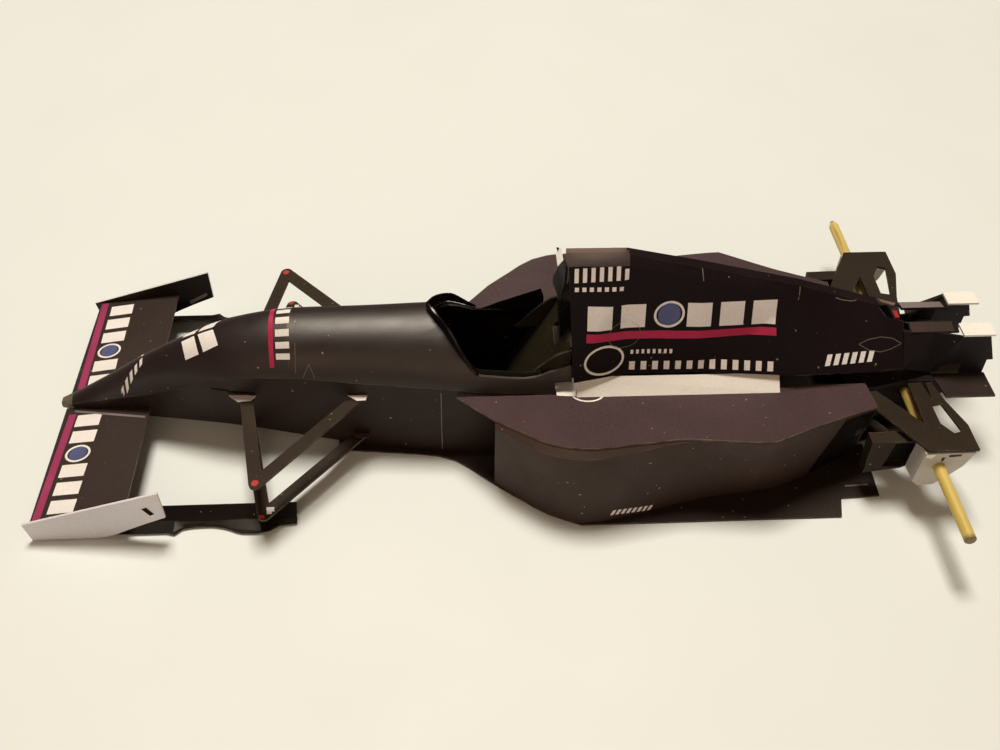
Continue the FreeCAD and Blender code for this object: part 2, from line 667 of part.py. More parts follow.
# Lower part of the upright, the brake duct and the niche in the duct's outer side, in the
# side view
UPRIGHT_FOOT = [(160.9, 11.2), (158.9, 8.3), (157.1, 6.2), (154.4, 6.0), (153.1, 7.2)]
DUCT_OUTLINE = [(145.4, 13.6), (155.1, 13.8), (153.4, 7.2), (152.4, 6.4), (146.0, 5.4)]
DUCT_NICHE = [(149.6, 13.3), (157.0, 13.3), (157.0, 7.4), (153.2, 7.4), (152.2, 6.8), (149.0, 6.9)]


def tilted_plate(outline, height, slope, inner):
    """Plate that rises outward, from a plan outline."""
    points = [at(u, y, height + slope * (y - inner)) for u, y in outline]
    return loop(points).extrude(V(0, 0, CARD))


def make_rear_suspension():
    inner = REAR_ARMS[0][1]
    height = UPRIGHT_TOP - REAR_ARM_SLOPE * (UPRIGHT_OUTER - inner)
    upper = tilted_plate(REAR_ARMS, height, REAR_ARM_SLOPE, inner)
    upper = upper.cut(plan_plate(REAR_ARM_WINDOW, 5.0, 20.0))
    save_pair("rear_wishbone_upper", upper)
    lower = tilted_plate(REAR_LOWER_ARMS, REAR_LOWER_HEIGHT, 0.0, inner)
    save_pair("rear_wishbone_lower", lower)

    drop = REAR_ARM_SLOPE * (UPRIGHT_OUTER - UPRIGHT_INNER)
    outline = [(153.2, UPRIGHT_TOP - drop), (161.9, UPRIGHT_TOP - drop)] + UPRIGHT_FOOT
    upright = side_plate(outline, UPRIGHT_INNER, UPRIGHT_OUTER - UPRIGHT_INNER)
    hole = Part.makeCylinder(AXLE_RADIUS + AXLE_RUNNING_GAP, 20.0,
                             at(AXLE_STATION, UPRIGHT_INNER - 10.0, AXLE_HEIGHT), V(0, 1, 0))
    save_pair("rear_upright", upright.cut(hole))

    duct = side_plate(DUCT_OUTLINE, UPRIGHT_INNER - DUCT_WIDTH, DUCT_WIDTH)
    niche = side_plate(DUCT_NICHE, UPRIGHT_INNER - DUCT_NICHE_DEPTH, DUCT_WIDTH)
    save_pair("brake_duct", duct.cut(niche))


def make_axle():
    straight = AXLE_SPAN / 2.0 - AXLE_TIP_LENGTH
    left = AXLE_SPAN / 2.0
    profile = [V(0, -left, 0), V(0.35, -left, 0), V(AXLE_RADIUS, -straight, 0),
               V(AXLE_RADIUS, left - 0.2, 0), V(AXLE_RADIUS - 0.2, left, 0), V(0, left, 0)]
    stick = loop(profile).revolve(V(0, 0, 0), V(0, 1, 0), 360)
    stick.translate(at(AXLE_STATION, 0, AXLE_HEIGHT))
    save("rear_axle", stick)


make_nose()
make_tub()
make_nose_tip()
make_cockpit()
make_engine_cover()
make_rear_wall()
make_sidepods()
make_floor()
make_gearbox()
make_fins()
make_tail_wall()
make_front_suspension()
make_front_wing()
make_rear_suspension()
make_axle()
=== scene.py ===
import math

import bmesh
import bpy
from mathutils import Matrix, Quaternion, Vector
from mathutils.bvhtree import BVHTree


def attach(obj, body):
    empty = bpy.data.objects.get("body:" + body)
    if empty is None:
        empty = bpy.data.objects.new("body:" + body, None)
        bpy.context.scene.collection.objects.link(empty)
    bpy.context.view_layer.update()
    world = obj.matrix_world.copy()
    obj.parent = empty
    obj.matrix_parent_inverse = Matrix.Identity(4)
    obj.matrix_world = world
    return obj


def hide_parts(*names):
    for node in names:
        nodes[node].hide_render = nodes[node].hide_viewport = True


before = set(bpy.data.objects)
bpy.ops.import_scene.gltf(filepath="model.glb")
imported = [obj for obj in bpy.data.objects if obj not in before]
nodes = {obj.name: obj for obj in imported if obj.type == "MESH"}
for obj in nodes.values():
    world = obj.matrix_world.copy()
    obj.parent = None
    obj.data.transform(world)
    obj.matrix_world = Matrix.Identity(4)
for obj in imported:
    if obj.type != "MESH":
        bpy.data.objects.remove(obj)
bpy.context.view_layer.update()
scene = bpy.context.scene

HALF_LENGTH = 85.95          # mm; the CAD's nose end lies this far ahead of the origin
SIDES = {"left": 1, "right": -1}


def point(u, y, z):
    """Frame place, in metres, of a point u mm behind the nose end."""
    return Vector(((HALF_LENGTH - u) / 1000, y / 1000, z / 1000))


# camera and light

camera_data = bpy.data.cameras.new("camera")
camera_data.sensor_width = 36
camera_data.lens = 36.256
camera_data.clip_start = 0.005
camera = bpy.data.objects.new("camera", camera_data)
camera.location = (0.01169, 0.129394, 0.147164)
camera.rotation_mode = "QUATERNION"
camera.rotation_quaternion = Quaternion((0.019437, 0.015038, 0.368038, 0.929486))
scene.collection.objects.link(camera)
scene.camera = camera
scene.view_settings.view_transform = "Standard"


def softbox(name, place, size, power, colour):
    """A rectangular lamp that looks at the car's middle."""
    lamp = bpy.data.lights.new(name, "AREA")
    lamp.shape = "RECTANGLE"
    lamp.size, lamp.size_y = size
    lamp.energy = power
    lamp.color = colour
    thing = bpy.data.objects.new(name, lamp)
    thing.location = place
    thing.rotation_euler = (-Vector(place)).to_track_quat("-Z", "Y").to_euler()
    scene.collection.objects.link(thing)


softbox("key", (0.04, -0.22, 0.88), (0.25, 0.25), 7.8, (1.0, 0.895, 0.73))
softbox("fill", (0.05, 0.80, 0.55), (0.9, 0.5), 1.65, (1.0, 0.74, 0.50))

world = bpy.data.worlds.new("room")
world.use_nodes = True
room = world.node_tree.nodes["Background"]
room.inputs["Color"].default_value = (1.0, 0.62, 0.36, 1)
room.inputs["Strength"].default_value = 0.12
scene.world = world

BACKDROP = (0.965, 0.895, 0.785, 1)   # pale paper beyond the lamps' reach, for camera rays alone


def pale_behind(tree, shader, amount, backdrop):
    """Mixes the pale backdrop in by the given amount, where the camera looks straight at it."""
    path = tree.nodes.new("ShaderNodeLightPath")
    both = tree.nodes.new("ShaderNodeMath")
    both.operation = "MULTIPLY"
    both.inputs[1].default_value = 1.0
    if amount:
        tree.links.new(amount, both.inputs[1])
    mixed = tree.nodes.new("ShaderNodeMixShader")
    tree.links.new(path.outputs["Is Camera Ray"], both.inputs[0])
    tree.links.new(both.outputs[0], mixed.inputs[0])
    tree.links.new(shader, mixed.inputs[1])
    tree.links.new(backdrop, mixed.inputs[2])
    return mixed.outputs[0]


beyond = world.node_tree.nodes.new("ShaderNodeBackground")
beyond.inputs["Color"].default_value = BACKDROP
world.node_tree.links.new(pale_behind(world.node_tree, room.outputs[0], None, beyond.outputs[0]),
                          world.node_tree.nodes["World Output"].inputs["Surface"])


# materials

CREASE_RADIUS = 0.00016               # m; the ink is rubbed off this close to a fold
FIBRE_HEIGHT = 0.00003                # m
GRAIN_DEPTH = 0.00005                 # m
STICK_TIP = (0.0402, 0.0411)          # m from the car's middle; the stick darkens between these
RUBBED_INK = (0.42, 0.37, 0.31)
SPECK_COLOUR = (0.30, 0.26, 0.22)
WOOD_COLOURS = ((0.62, 0.47, 0.105), (0.78, 0.64, 0.24))
PORE_COLOUR = (0.22, 0.12, 0.030)
TIP_COLOUR = (0.06, 0.04, 0.02)


class Graph:
    """Short calls for one material's nodes."""

    def __init__(self, name):
        self.material = bpy.data.materials.new(name)
        self.material.use_nodes = True
        self.tree = self.material.node_tree
        self.shader = self.tree.nodes["Principled BSDF"]
        self.place = self.add("ShaderNodeTexCoord").outputs["Object"]

    def add(self, kind, **settings):
        made = self.tree.nodes.new(kind)
        for key, value in settings.items():
            setattr(made, key, value)
        return made

    def feed(self, socket, value):
        if hasattr(value, "is_linked"):
            self.tree.links.new(value, socket)
        else:
            socket.default_value = value

    def noise(self, scale, detail, stretch=None):
        made = self.add("ShaderNodeTexNoise")
        place = self.place
        if stretch:
            spread = self.add("ShaderNodeMapping")
            self.feed(spread.inputs["Vector"], place)
            spread.inputs["Scale"].default_value = stretch
            place = spread.outputs["Vector"]
        self.feed(made.inputs["Vector"], place)
        made.inputs["Scale"].default_value = scale
        made.inputs["Detail"].default_value = detail
        return made.outputs["Fac"]

    def ramp(self, value, low, high, start=0.0, end=1.0):
        made = self.add("ShaderNodeMapRange")
        self.feed(made.inputs["Value"], value)
        sockets = ("From Min", "From Max", "To Min", "To Max")
        for socket, number in zip(sockets, (low, high, start, end)):
            made.inputs[socket].default_value = number
        return made.outputs["Result"]

    def math(self, what, a, b=0.0):
        made = self.add("ShaderNodeMath", operation=what)
        self.feed(made.inputs[0], a)
        self.feed(made.inputs[1], b)
        return made.outputs[0]

    def mix(self, amount, a, b):
        made = self.add("ShaderNodeMix", data_type="RGBA")
        self.feed(made.inputs[0], amount)
        self.feed(made.inputs[6], a if hasattr(a, "is_linked") else (*a, 1))
        self.feed(made.inputs[7], b if hasattr(b, "is_linked") else (*b, 1))
        return made.outputs[2]

    def part(self, vector, axis):
        made = self.add("ShaderNodeSeparateXYZ")
        self.feed(made.inputs[0], vector)
        return made.outputs[axis]

    def bump(self, height, strength, distance):
        made = self.add("ShaderNodeBump")
        made.inputs["Strength"].default_value = strength
        made.inputs["Distance"].default_value = distance
        self.feed(made.inputs["Height"], height)
        self.feed(self.shader.inputs["Normal"], made.outputs["Normal"])

    def normal(self):
        return self.add("ShaderNodeNewGeometry").outputs["Normal"]


def card(name, colour, tint, rough, wear=0.35, rim=None, inside=None, specular=0.5, coat=0.0):
    """Printed card: uneven ink, paper fibres, rubbed creases, specks and a paler cut edge.

    A level plate has a rim colour for its cut edge. A folded shell that shows its unprinted
    face has an inside colour.
    """
    g = Graph(name)
    blotch = g.ramp(g.noise(45, 4.0), 0.35, 0.68)
    fibre = g.noise(2600, 2.0)
    body = g.mix(blotch, colour, tint)
    paler = tuple(min(1.0, c * 1.9 + 0.004) for c in tint)
    body = g.mix(g.ramp(fibre, 0.30, 0.75, 0.0, 0.22), body, paler)
    if inside:
        # the unprinted face of the sheet is the one that looks towards the car's middle plane
        outward = g.math("SIGN", g.part(g.place, "Y"))
        across = g.math("MULTIPLY", g.part(g.normal(), "Y"), outward)
        unprinted = g.mix(blotch, inside, tuple(c * 0.8 for c in inside))
        body = g.mix(g.ramp(across, -0.25, -0.35), body, unprinted)
    if rim:
        # what doesn't face up or down on a level plate is its cut edge
        facing = g.math("ABSOLUTE", g.part(g.normal(), "Z"))
        patchy = g.ramp(g.noise(420, 3.0), 0.40, 0.60, 0.25, 1.0)
        body = g.mix(g.math("MULTIPLY", g.ramp(facing, 0.75, 0.55), patchy), body, rim)
    if wear:
        bevel = g.add("ShaderNodeBevel", samples=4)
        bevel.inputs["Radius"].default_value = CREASE_RADIUS
        turn = g.add("ShaderNodeVectorMath", operation="DOT_PRODUCT")
        g.feed(turn.inputs[0], bevel.outputs["Normal"])
        g.feed(turn.inputs[1], g.normal())
        crease = g.ramp(turn.outputs["Value"], 0.97, 0.80)
        patchy = g.ramp(g.noise(330, 4.0), 0.45, 0.70, 0.0, wear)
        body = g.mix(g.math("MULTIPLY", crease, patchy), body, RUBBED_INK)
    speck = g.ramp(g.noise(1500, 0.0), 0.845, 0.860, 0.0, 0.7)
    body = g.mix(speck, body, SPECK_COLOUR)
    g.feed(g.shader.inputs["Base Color"], body)
    g.feed(g.shader.inputs["Roughness"], g.ramp(g.noise(160, 3.0), 0.3, 0.7, *rough))
    g.shader.inputs["Specular IOR Level"].default_value = specular
    g.shader.inputs["Coat Weight"].default_value = coat
    g.shader.inputs["Coat Roughness"].default_value = 0.2
    waves = g.math("MULTIPLY", g.noise(240, 3.0), 2.0)
    g.bump(g.math("ADD", fibre, waves), 0.35, FIBRE_HEIGHT)
    return g.material


def paper(name, colour, shade, rough=0.75, specular=0.3):
    """Bare or painted paper with fibres and faint stains."""
    g = Graph(name)
    fibre = g.noise(2200, 3.0)
    body = g.mix(g.ramp(g.noise(110, 4.0), 0.40, 0.75), colour, shade)
    darker = tuple(c * 0.75 for c in shade)
    body = g.mix(g.ramp(fibre, 0.35, 0.75, 0.0, 0.25), body, darker)
    g.feed(g.shader.inputs["Base Color"], body)
    uneven = g.ramp(g.noise(300, 2.0), 0.3, 0.7, rough - 0.08, rough + 0.08)
    g.feed(g.shader.inputs["Roughness"], uneven)
    g.shader.inputs["Specular IOR Level"].default_value = specular
    g.bump(fibre, 0.3, FIBRE_HEIGHT)
    return g.material


def wood(name):
    """Bare split stick: long grain, darker pores and dark tips."""
    g = Graph(name)
    grain = g.noise(900, 4.0, (1.0, 0.05, 1.0))
    streak = g.noise(260, 3.0, (1.0, 0.03, 1.0))
    body = g.mix(g.ramp(streak, 0.35, 0.65), *WOOD_COLOURS)
    body = g.mix(g.ramp(grain, 0.56, 0.72, 0.0, 0.8), body, PORE_COLOUR)
    tip = g.ramp(g.math("ABSOLUTE", g.part(g.place, "Y")), *STICK_TIP)
    body = g.mix(g.math("MULTIPLY", tip, 0.75), body, TIP_COLOUR)
    g.feed(g.shader.inputs["Base Color"], body)
    g.feed(g.shader.inputs["Roughness"], g.ramp(grain, 0.3, 0.7, 0.42, 0.62))
    g.bump(grain, 0.5, GRAIN_DEPTH)
    return g.material


CARDS = {
    "nose": card("card_nose", (0.0072, 0.0024, 0.0036), (0.0118, 0.0044, 0.0062), (0.39, 0.49),
                 wear=0.22, specular=0.62),
    "tip": card("card_tip", (0.090, 0.075, 0.060), (0.130, 0.110, 0.085), (0.45, 0.60), wear=0.5),
    "cover": card("card_cover", (0.0055, 0.0025, 0.0042), (0.0092, 0.0046, 0.0070),
                  (0.46, 0.58), wear=0.30, inside=(0.95, 0.85, 0.88), specular=0.14),
    "tub": card("card_tub", (0.0145, 0.0066, 0.0048), (0.0225, 0.0115, 0.0088), (0.50, 0.62),
                specular=0.22),
    "pod_top": card("card_pod_top", (0.050, 0.029, 0.035), (0.068, 0.042, 0.049), (0.50, 0.62),
                    wear=0.7, rim=(0.16, 0.13, 0.10), specular=0.15),
    "pod_side": card("card_pod_side", (0.031, 0.0175, 0.0135), (0.045, 0.027, 0.021),
                     (0.50, 0.64), wear=0.5, specular=0.25),
    "plate": card("card_plate", (0.016, 0.0100, 0.0085), (0.026, 0.017, 0.0150), (0.50, 0.62),
                  rim=(0.10, 0.08, 0.06), specular=0.22),
    "wing": card("card_wing", (0.024, 0.0150, 0.0135), (0.036, 0.024, 0.021), (0.50, 0.62),
                 rim=(0.20, 0.165, 0.12), specular=0.25),
    "arm": card("card_arm", (0.017, 0.0104, 0.0066), (0.031, 0.020, 0.0125), (0.50, 0.64),
                rim=(0.09, 0.072, 0.045), specular=0.20),
    "fin": card("card_fin", (0.0068, 0.0041, 0.0054), (0.0108, 0.0070, 0.0088), (0.48, 0.60),
                wear=0.2, specular=0.12),
    "gloss": card("card_gloss", (0.0026, 0.0018, 0.0020), (0.0048, 0.0034, 0.0036),
                  (0.20, 0.30), wear=0.0, specular=0.22, coat=0.06),
    "olive": card("card_olive", (0.016, 0.0135, 0.0070), (0.026, 0.021, 0.0115), (0.44, 0.58),
                  wear=0.5, specular=0.28),
    "block": card("card_block", (0.0058, 0.0038, 0.0036), (0.0096, 0.0066, 0.0060),
                  (0.50, 0.64), wear=0.3, specular=0.09),
    "duct": card("card_duct", (0.019, 0.0128, 0.0088), (0.030, 0.021, 0.014), (0.50, 0.64),
                 wear=0.6, specular=0.14),
    "fence": card("card_fence", (0.74, 0.73, 0.80), (0.66, 0.65, 0.72), (0.55, 0.66), wear=0.0,
                  inside=(0.012, 0.0075, 0.0065), specular=0.3),
    "white": paper("paper_white", (0.95, 0.95, 0.95), (0.90, 0.89, 0.88)),
    "grey": paper("paper_grey", (0.60, 0.57, 0.55), (0.50, 0.47, 0.42), 0.65),
    "red": paper("paper_red", (0.36, 0.022, 0.020), (0.27, 0.014, 0.014), 0.5),
    "wood": wood("wood_stick"),
}

# each kind of node, without its side, and its card
DRESS = {
    "nose_tip": "tip", "nose_cone": "nose", "cockpit_cowl": "nose",
    "tub_front": "tub", "tub_rear": "tub", "floor_plate": "plate", "diffuser": "plate",
    "front_wing": "wing", "endplate": "fence", "footplate": "block",
    "front_wishbone_upper": "arm", "front_wishbone_lower": "arm",
    "rear_wishbone_upper": "duct", "rear_wishbone_lower": "duct",
    "windscreen": "gloss", "cockpit_liner": "gloss", "headrest": "gloss",
    "airbox_front": "block", "bulkhead": "olive", "seat_back": "olive", "cockpit_side": "olive",
    "engine_cover": "cover", "tail_wall": "block", "tail_lamp": "red",
    "sidepod_top": "pod_top", "sidepod_side": "pod_side", "glue_flange": "white",
    "gearbox": "fin", "rear_fin": "fin", "rear_shelf": "plate", "wing_tab": "white",
    "rear_upright": "grey", "brake_duct": "duct", "rear_axle": "wood",
}


def kind(node):
    """The node's name without its side."""
    for side in SIDES:
        node = node.removesuffix("_" + side)
    return node


def dress(thing, key):
    thing.data.materials.clear()
    thing.data.materials.append(CARDS[key])


for name, thing in nodes.items():
    dress(thing, DRESS[kind(name)])


# bent card shaded as one curve

SHOWN = dict(nodes)                   # what shows for each node: itself or its bent copy
CURVED = ["nose_tip", "nose_cone", "cockpit_cowl", "engine_cover", "windscreen", "airbox_front",
          "tub_front", "tub_rear", "sidepod_side_left", "sidepod_side_right",
          "footplate_left", "footplate_right", "rear_axle"]
ARCHED = ["nose_cone", "cockpit_cowl"]

FOLD_ANGLE = math.radians(22)         # a corner that is at least this sharp stays a fold
CORNER_WELD = 2e-6                    # m
SLIVER = 1e-6                         # m

FOOT_SLOPE = 2.15                     # of the arch where it meets the tub
STEEPEST = 0.93                       # share of the foot's slope at which it stops steepening
CROWN = 0.5                           # tilt that is left near the crown

TUCK_TOP, TUCK_HEIGHT = 26.0, 7.7     # mm; drawn in from this height down, in full after this
TUCK_FRONT, TUCK_LEAD_IN = 95.3, 3.0  # mm behind the nose end
TUCK_REAR, TUCK_LEAD_OUT = 138.0, 12.0
TUCK_SHARE = 0.175                    # of the wall's distance from the middle plane


def rounder(normal):
    """Normal of the same arch with a rounder crown and steeper sides."""
    slope = abs(normal.y) / max(abs(normal.z), 0.05)
    share = min(slope / FOOT_SLOPE, STEEPEST)
    sideways = normal.y * CROWN / math.sqrt(1 - share * share)
    return Vector((normal.x, sideways, normal.z)).normalized()


def tucked(place):
    """The cover's lower wall, drawn in a little so that the white flange beside it shows."""
    u, z = HALF_LENGTH - place.x * 1000, place.z * 1000
    low = min(max((TUCK_TOP - z) / TUCK_HEIGHT, 0.0), 1.0)
    along = min(max((TUCK_REAR - u) / TUCK_LEAD_OUT, 0.0),
                max((u - TUCK_FRONT) / TUCK_LEAD_IN, 0.0), 1.0)
    return Vector((place.x, place.y * (1 - TUCK_SHARE * low * along), place.z))


def bent(node):
    """The node's own sheet with its corners welded, so that narrow facets shade as one bend."""
    source = nodes[node].data
    mesh = bpy.data.meshes.new(node + "_bent")
    mesh.from_pydata([v.co[:] for v in source.vertices], [],
                     [p.vertices[:] for p in source.polygons])
    bm = bmesh.new()
    bm.from_mesh(mesh)
    bmesh.ops.remove_doubles(bm, verts=bm.verts, dist=CORNER_WELD)
    bmesh.ops.dissolve_degenerate(bm, edges=bm.edges, dist=SLIVER)
    bmesh.ops.recalc_face_normals(bm, faces=bm.faces)
    if node == "engine_cover":
        for vert in bm.verts:
            vert.co = tucked(vert.co)
    for face in bm.faces:
        face.smooth = True
    for edge in bm.edges:
        edge.smooth = len(edge.link_faces) == 2 and edge.calc_face_angle() < FOLD_ANGLE
    bm.to_mesh(mesh)
    bm.free()
    if node in ARCHED:
        mesh.normals_split_custom_set([rounder(corner.vector) for corner in mesh.corner_normals])
    piece = bpy.data.objects.new(node + "_bent", mesh)
    scene.collection.objects.link(piece)
    dress(piece, DRESS[kind(node)])
    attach(piece, "axle" if node == "rear_axle" else "car")
    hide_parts(node)
    SHOWN[node] = piece


for name in CURVED:
    bent(name)


# printed stripes, blocks and marks, with painted shade and painted sheen

INKS = {
    "crimson": paper("ink_crimson", (0.52, 0.020, 0.095), (0.43, 0.015, 0.075), 0.5),
    "rose": paper("ink_rose", (0.38, 0.045, 0.145), (0.31, 0.032, 0.115), 0.5),
    "cream": paper("ink_cream", (0.92, 0.88, 0.90), (0.82, 0.78, 0.80), 0.55),
    "pale": paper("ink_pale", (0.93, 0.92, 0.95), (0.84, 0.82, 0.85), 0.55),
    "blue": paper("ink_blue", (0.105, 0.130, 0.300), (0.080, 0.100, 0.240), 0.5),
    "guide": paper("ink_guide", (0.15, 0.155, 0.11), (0.10, 0.105, 0.08), 0.6),
    "seam": paper("ink_seam", (0.22, 0.19, 0.15), (0.10, 0.085, 0.065), 0.6),
    # dark ink, also laid as painted shade
    "dark": paper("ink_dark_and_painted_shade", (0.004, 0.0025, 0.0025), (0.007, 0.0045, 0.0045), 0.6, 0.06),
    "lit": paper("ink_lit", (0.22, 0.18, 0.19), (0.16, 0.13, 0.14), 0.6),
    # brown ink, also laid as a painted sheen on the left fin strip
    "brown": paper("ink_brown_and_painted_sheen", (0.048, 0.033, 0.029), (0.034, 0.023, 0.021), 0.6, 0.2),
    "lip": paper("ink_lip", (0.014, 0.0105, 0.0060), (0.010, 0.0075, 0.0045), 0.5, 0.2),
    "plum": paper("ink_plum", (0.085, 0.048, 0.050), (0.060, 0.034, 0.036), 0.6),
    "red_dot": paper("ink_red_dot", (0.55, 0.045, 0.045), (0.45, 0.030, 0.030), 0.5),
    "white": CARDS["white"],
}

OUTSIDE = 60                          # mm; rays from outside start this far from the middle
BETWEEN = 20                          # mm; rays at inner faces start this far from the middle
LIFT = 0.04                           # mm from the card to a mark on it
STEP = 0.55                           # mm, the longest face of a mark
MOST_STEPS = 90
LONG_TURN = 40                        # a second coordinate past this is an angle in degrees
DEGREES_PER_MM = 4
BRIDGE = 0.003                        # m; a face as wide as this spans a gap and is left out
MARK_WELD = 1e-6                      # m


def finished(piece, ink):
    """Inks a piece and fixes it to the car."""
    scene.collection.objects.link(piece)
    piece.data.materials.append(INKS[ink])
    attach(piece, "car")


def surface(names):
    """The shown meshes of the named nodes, as one surface that rays can meet."""
    verts, faces = [], []
    for name in names:
        start = len(verts)
        verts += [v.co.copy() for v in SHOWN[name].data.vertices]
        faces += [[start + i for i in p.vertices] for p in SHOWN[name].data.polygons]
    return BVHTree.FromPolygons(verts, faces)


def from_side(side):
    """Marks given as (u, z), laid from the car's side."""
    return lambda u, z: (point(u, side * OUTSIDE, z), Vector((0, -side, 0)))


def from_above(side):
    """Marks given as (u, y), laid from above."""
    return lambda u, y: (point(u, side * y, OUTSIDE), Vector((0, 0, -1)))


def from_middle(side):
    """Marks given as (u, z) on inner faces, laid from the car's middle."""
    return lambda u, z: (point(u, side * BETWEEN, z), Vector((0, side, 0)))


def from_round(side, z):
    """Marks given as (u, degrees from upright), laid towards the line at height z."""
    def shoot(u, turn):
        turn = math.radians(turn)
        out = Vector((0, side * math.sin(turn), math.cos(turn)))
        return point(u, 0, z) + out * OUTSIDE / 1000, -out
    return shoot


def steps(corners):
    """How many faces a cell takes across and along."""
    spans = [max((corners[a] - corners[b]).length for a, b in pair)
             for pair in (((0, 1), (3, 2)), ((0, 3), (1, 2)))]
    if max(abs(corner[1]) for corner in corners) > LONG_TURN:
        spans = [span / DEGREES_PER_MM for span in spans]
    return [max(1, min(MOST_STEPS, math.ceil(span / STEP))) for span in spans]


def landed(bm, tree, start, way, lift):
    """A new corner just above the place that the ray meets, and the normal there, or None."""
    place, normal, _, _ = tree.ray_cast(start, way)
    if place is None:
        return None
    if normal.dot(way) > 0:
        normal = -normal
    return bm.verts.new(place + normal * lift / 1000), normal


def lay(name, cells, shoot, on, ink, lift=LIFT):
    """Thin cells of print, painted shade or painted sheen, each given by four corners, laid on
    what shows and lifted a hair.
    """
    tree = surface(on)
    bm = bmesh.new()
    for cell in cells:
        corners = [Vector(corner) for corner in cell]
        across, along = steps(corners)
        rows = []
        for j in range(along + 1):
            places = []
            for i in range(across + 1):
                low = corners[0].lerp(corners[1], i / across)
                high = corners[3].lerp(corners[2], i / across)
                places.append(landed(bm, tree, *shoot(*low.lerp(high, j / along)), lift))
            rows.append(places)
        for j in range(along):
            for i in range(across):
                quad = [rows[j][i], rows[j][i + 1], rows[j + 1][i + 1], rows[j + 1][i]]
                if None in quad:
                    continue
                if max((a[0].co - b[0].co).length for a in quad for b in quad) > BRIDGE:
                    continue
                face = bm.faces.new([corner[0] for corner in quad])
                face.normal_update()
                if face.normal.dot(quad[0][1]) < 0:
                    face.normal_flip()
                face.smooth = True
    bmesh.ops.remove_doubles(bm, verts=bm.verts, dist=MARK_WELD)
    bmesh.ops.dissolve_degenerate(bm, edges=bm.edges, dist=SLIVER)
    mesh = bpy.data.meshes.new(name)
    bm.to_mesh(mesh)
    bm.free()
    finished(bpy.data.objects.new(name, mesh), ink)


def row(count, start, end, height, fill, slant=0.0):
    """A row of plain upright blocks from start to end, with their feet on that line."""
    cells = []
    start, end = Vector(start), Vector(end)
    pitch = (end - start) / (count - 1 + fill)
    for i in range(count):
        a = start + pitch * i
        b = a + pitch * fill
        up = Vector((slant, height))
        cells.append([a, b, b + up, a + up])
    return cells


def stroke(points, width, shut=False):
    """A line of the given width through the points."""
    cells = []
    pairs = list(zip(points, points[1:] + points[:1]))
    for a, b in pairs if shut else pairs[:-1]:
        a, b = Vector(a), Vector(b)
        side = Vector((a.y - b.y, b.x - a.x)).normalized() * width / 2
        cells.append([a - side, b - side, b + side, a + side])
    return cells


def arc(middle, radii, start, end, count):
    """Points on an ellipse, between two angles in degrees."""
    turns = [math.radians(start + (end - start) * i / count) for i in range(count + 1)]
    return [(middle[0] + radii[0] * math.cos(turn), middle[1] + radii[1] * math.sin(turn))
            for turn in turns]


def ring(middle, radii, width, start=0, end=360, count=28):
    """An elliptic line of the given width."""
    outer = arc(middle, (radii[0] + width / 2, radii[1] + width / 2), start, end, count)
    inner = arc(middle, (radii[0] - width / 2, radii[1] - width / 2), start, end, count)
    return [[inner[i], inner[i + 1], outer[i + 1], outer[i]] for i in range(count)]


def disc(middle, radius, count=18):
    edge = arc(middle, (radius, radius), 0, 360, count)
    return [[middle, middle, edge[i + 1], edge[i]] for i in range(count)]


def band(edge, inner, outer):
    """Cells between two rows of y values that share the stations in edge."""
    low, high = list(zip(edge, inner)), list(zip(edge, outer))
    return [[low[i], low[i + 1], high[i + 1], high[i]] for i in range(len(edge) - 1)]


SCRAP = 0.12                          # mm, the thickness of a loose scrap of card
THIN_SCRAP = 0.10


def sheet(name, outline, thick, ink):
    """A loose flat scrap of card (also a dark sheet standing in for shade), from its outline as
    (u, y, z).
    """
    low = [point(*corner) for corner in outline]
    lift = (low[1] - low[0]).cross(low[2] - low[1]).normalized() * thick / 1000
    if lift.z < 0:
        low, lift = low[::-1], -lift
    count = len(low)
    faces = [list(range(count))[::-1], list(range(count, 2 * count))]
    faces += [[i, (i + 1) % count, count + (i + 1) % count, count + i] for i in range(count)]
    mesh = bpy.data.meshes.new(name)
    mesh.from_pydata(low + [corner + lift for corner in low], [], faces)
    finished(bpy.data.objects.new(name, mesh), ink)


BAND_AXIS = 17.0                      # mm; the nose band is laid towards a line at this height

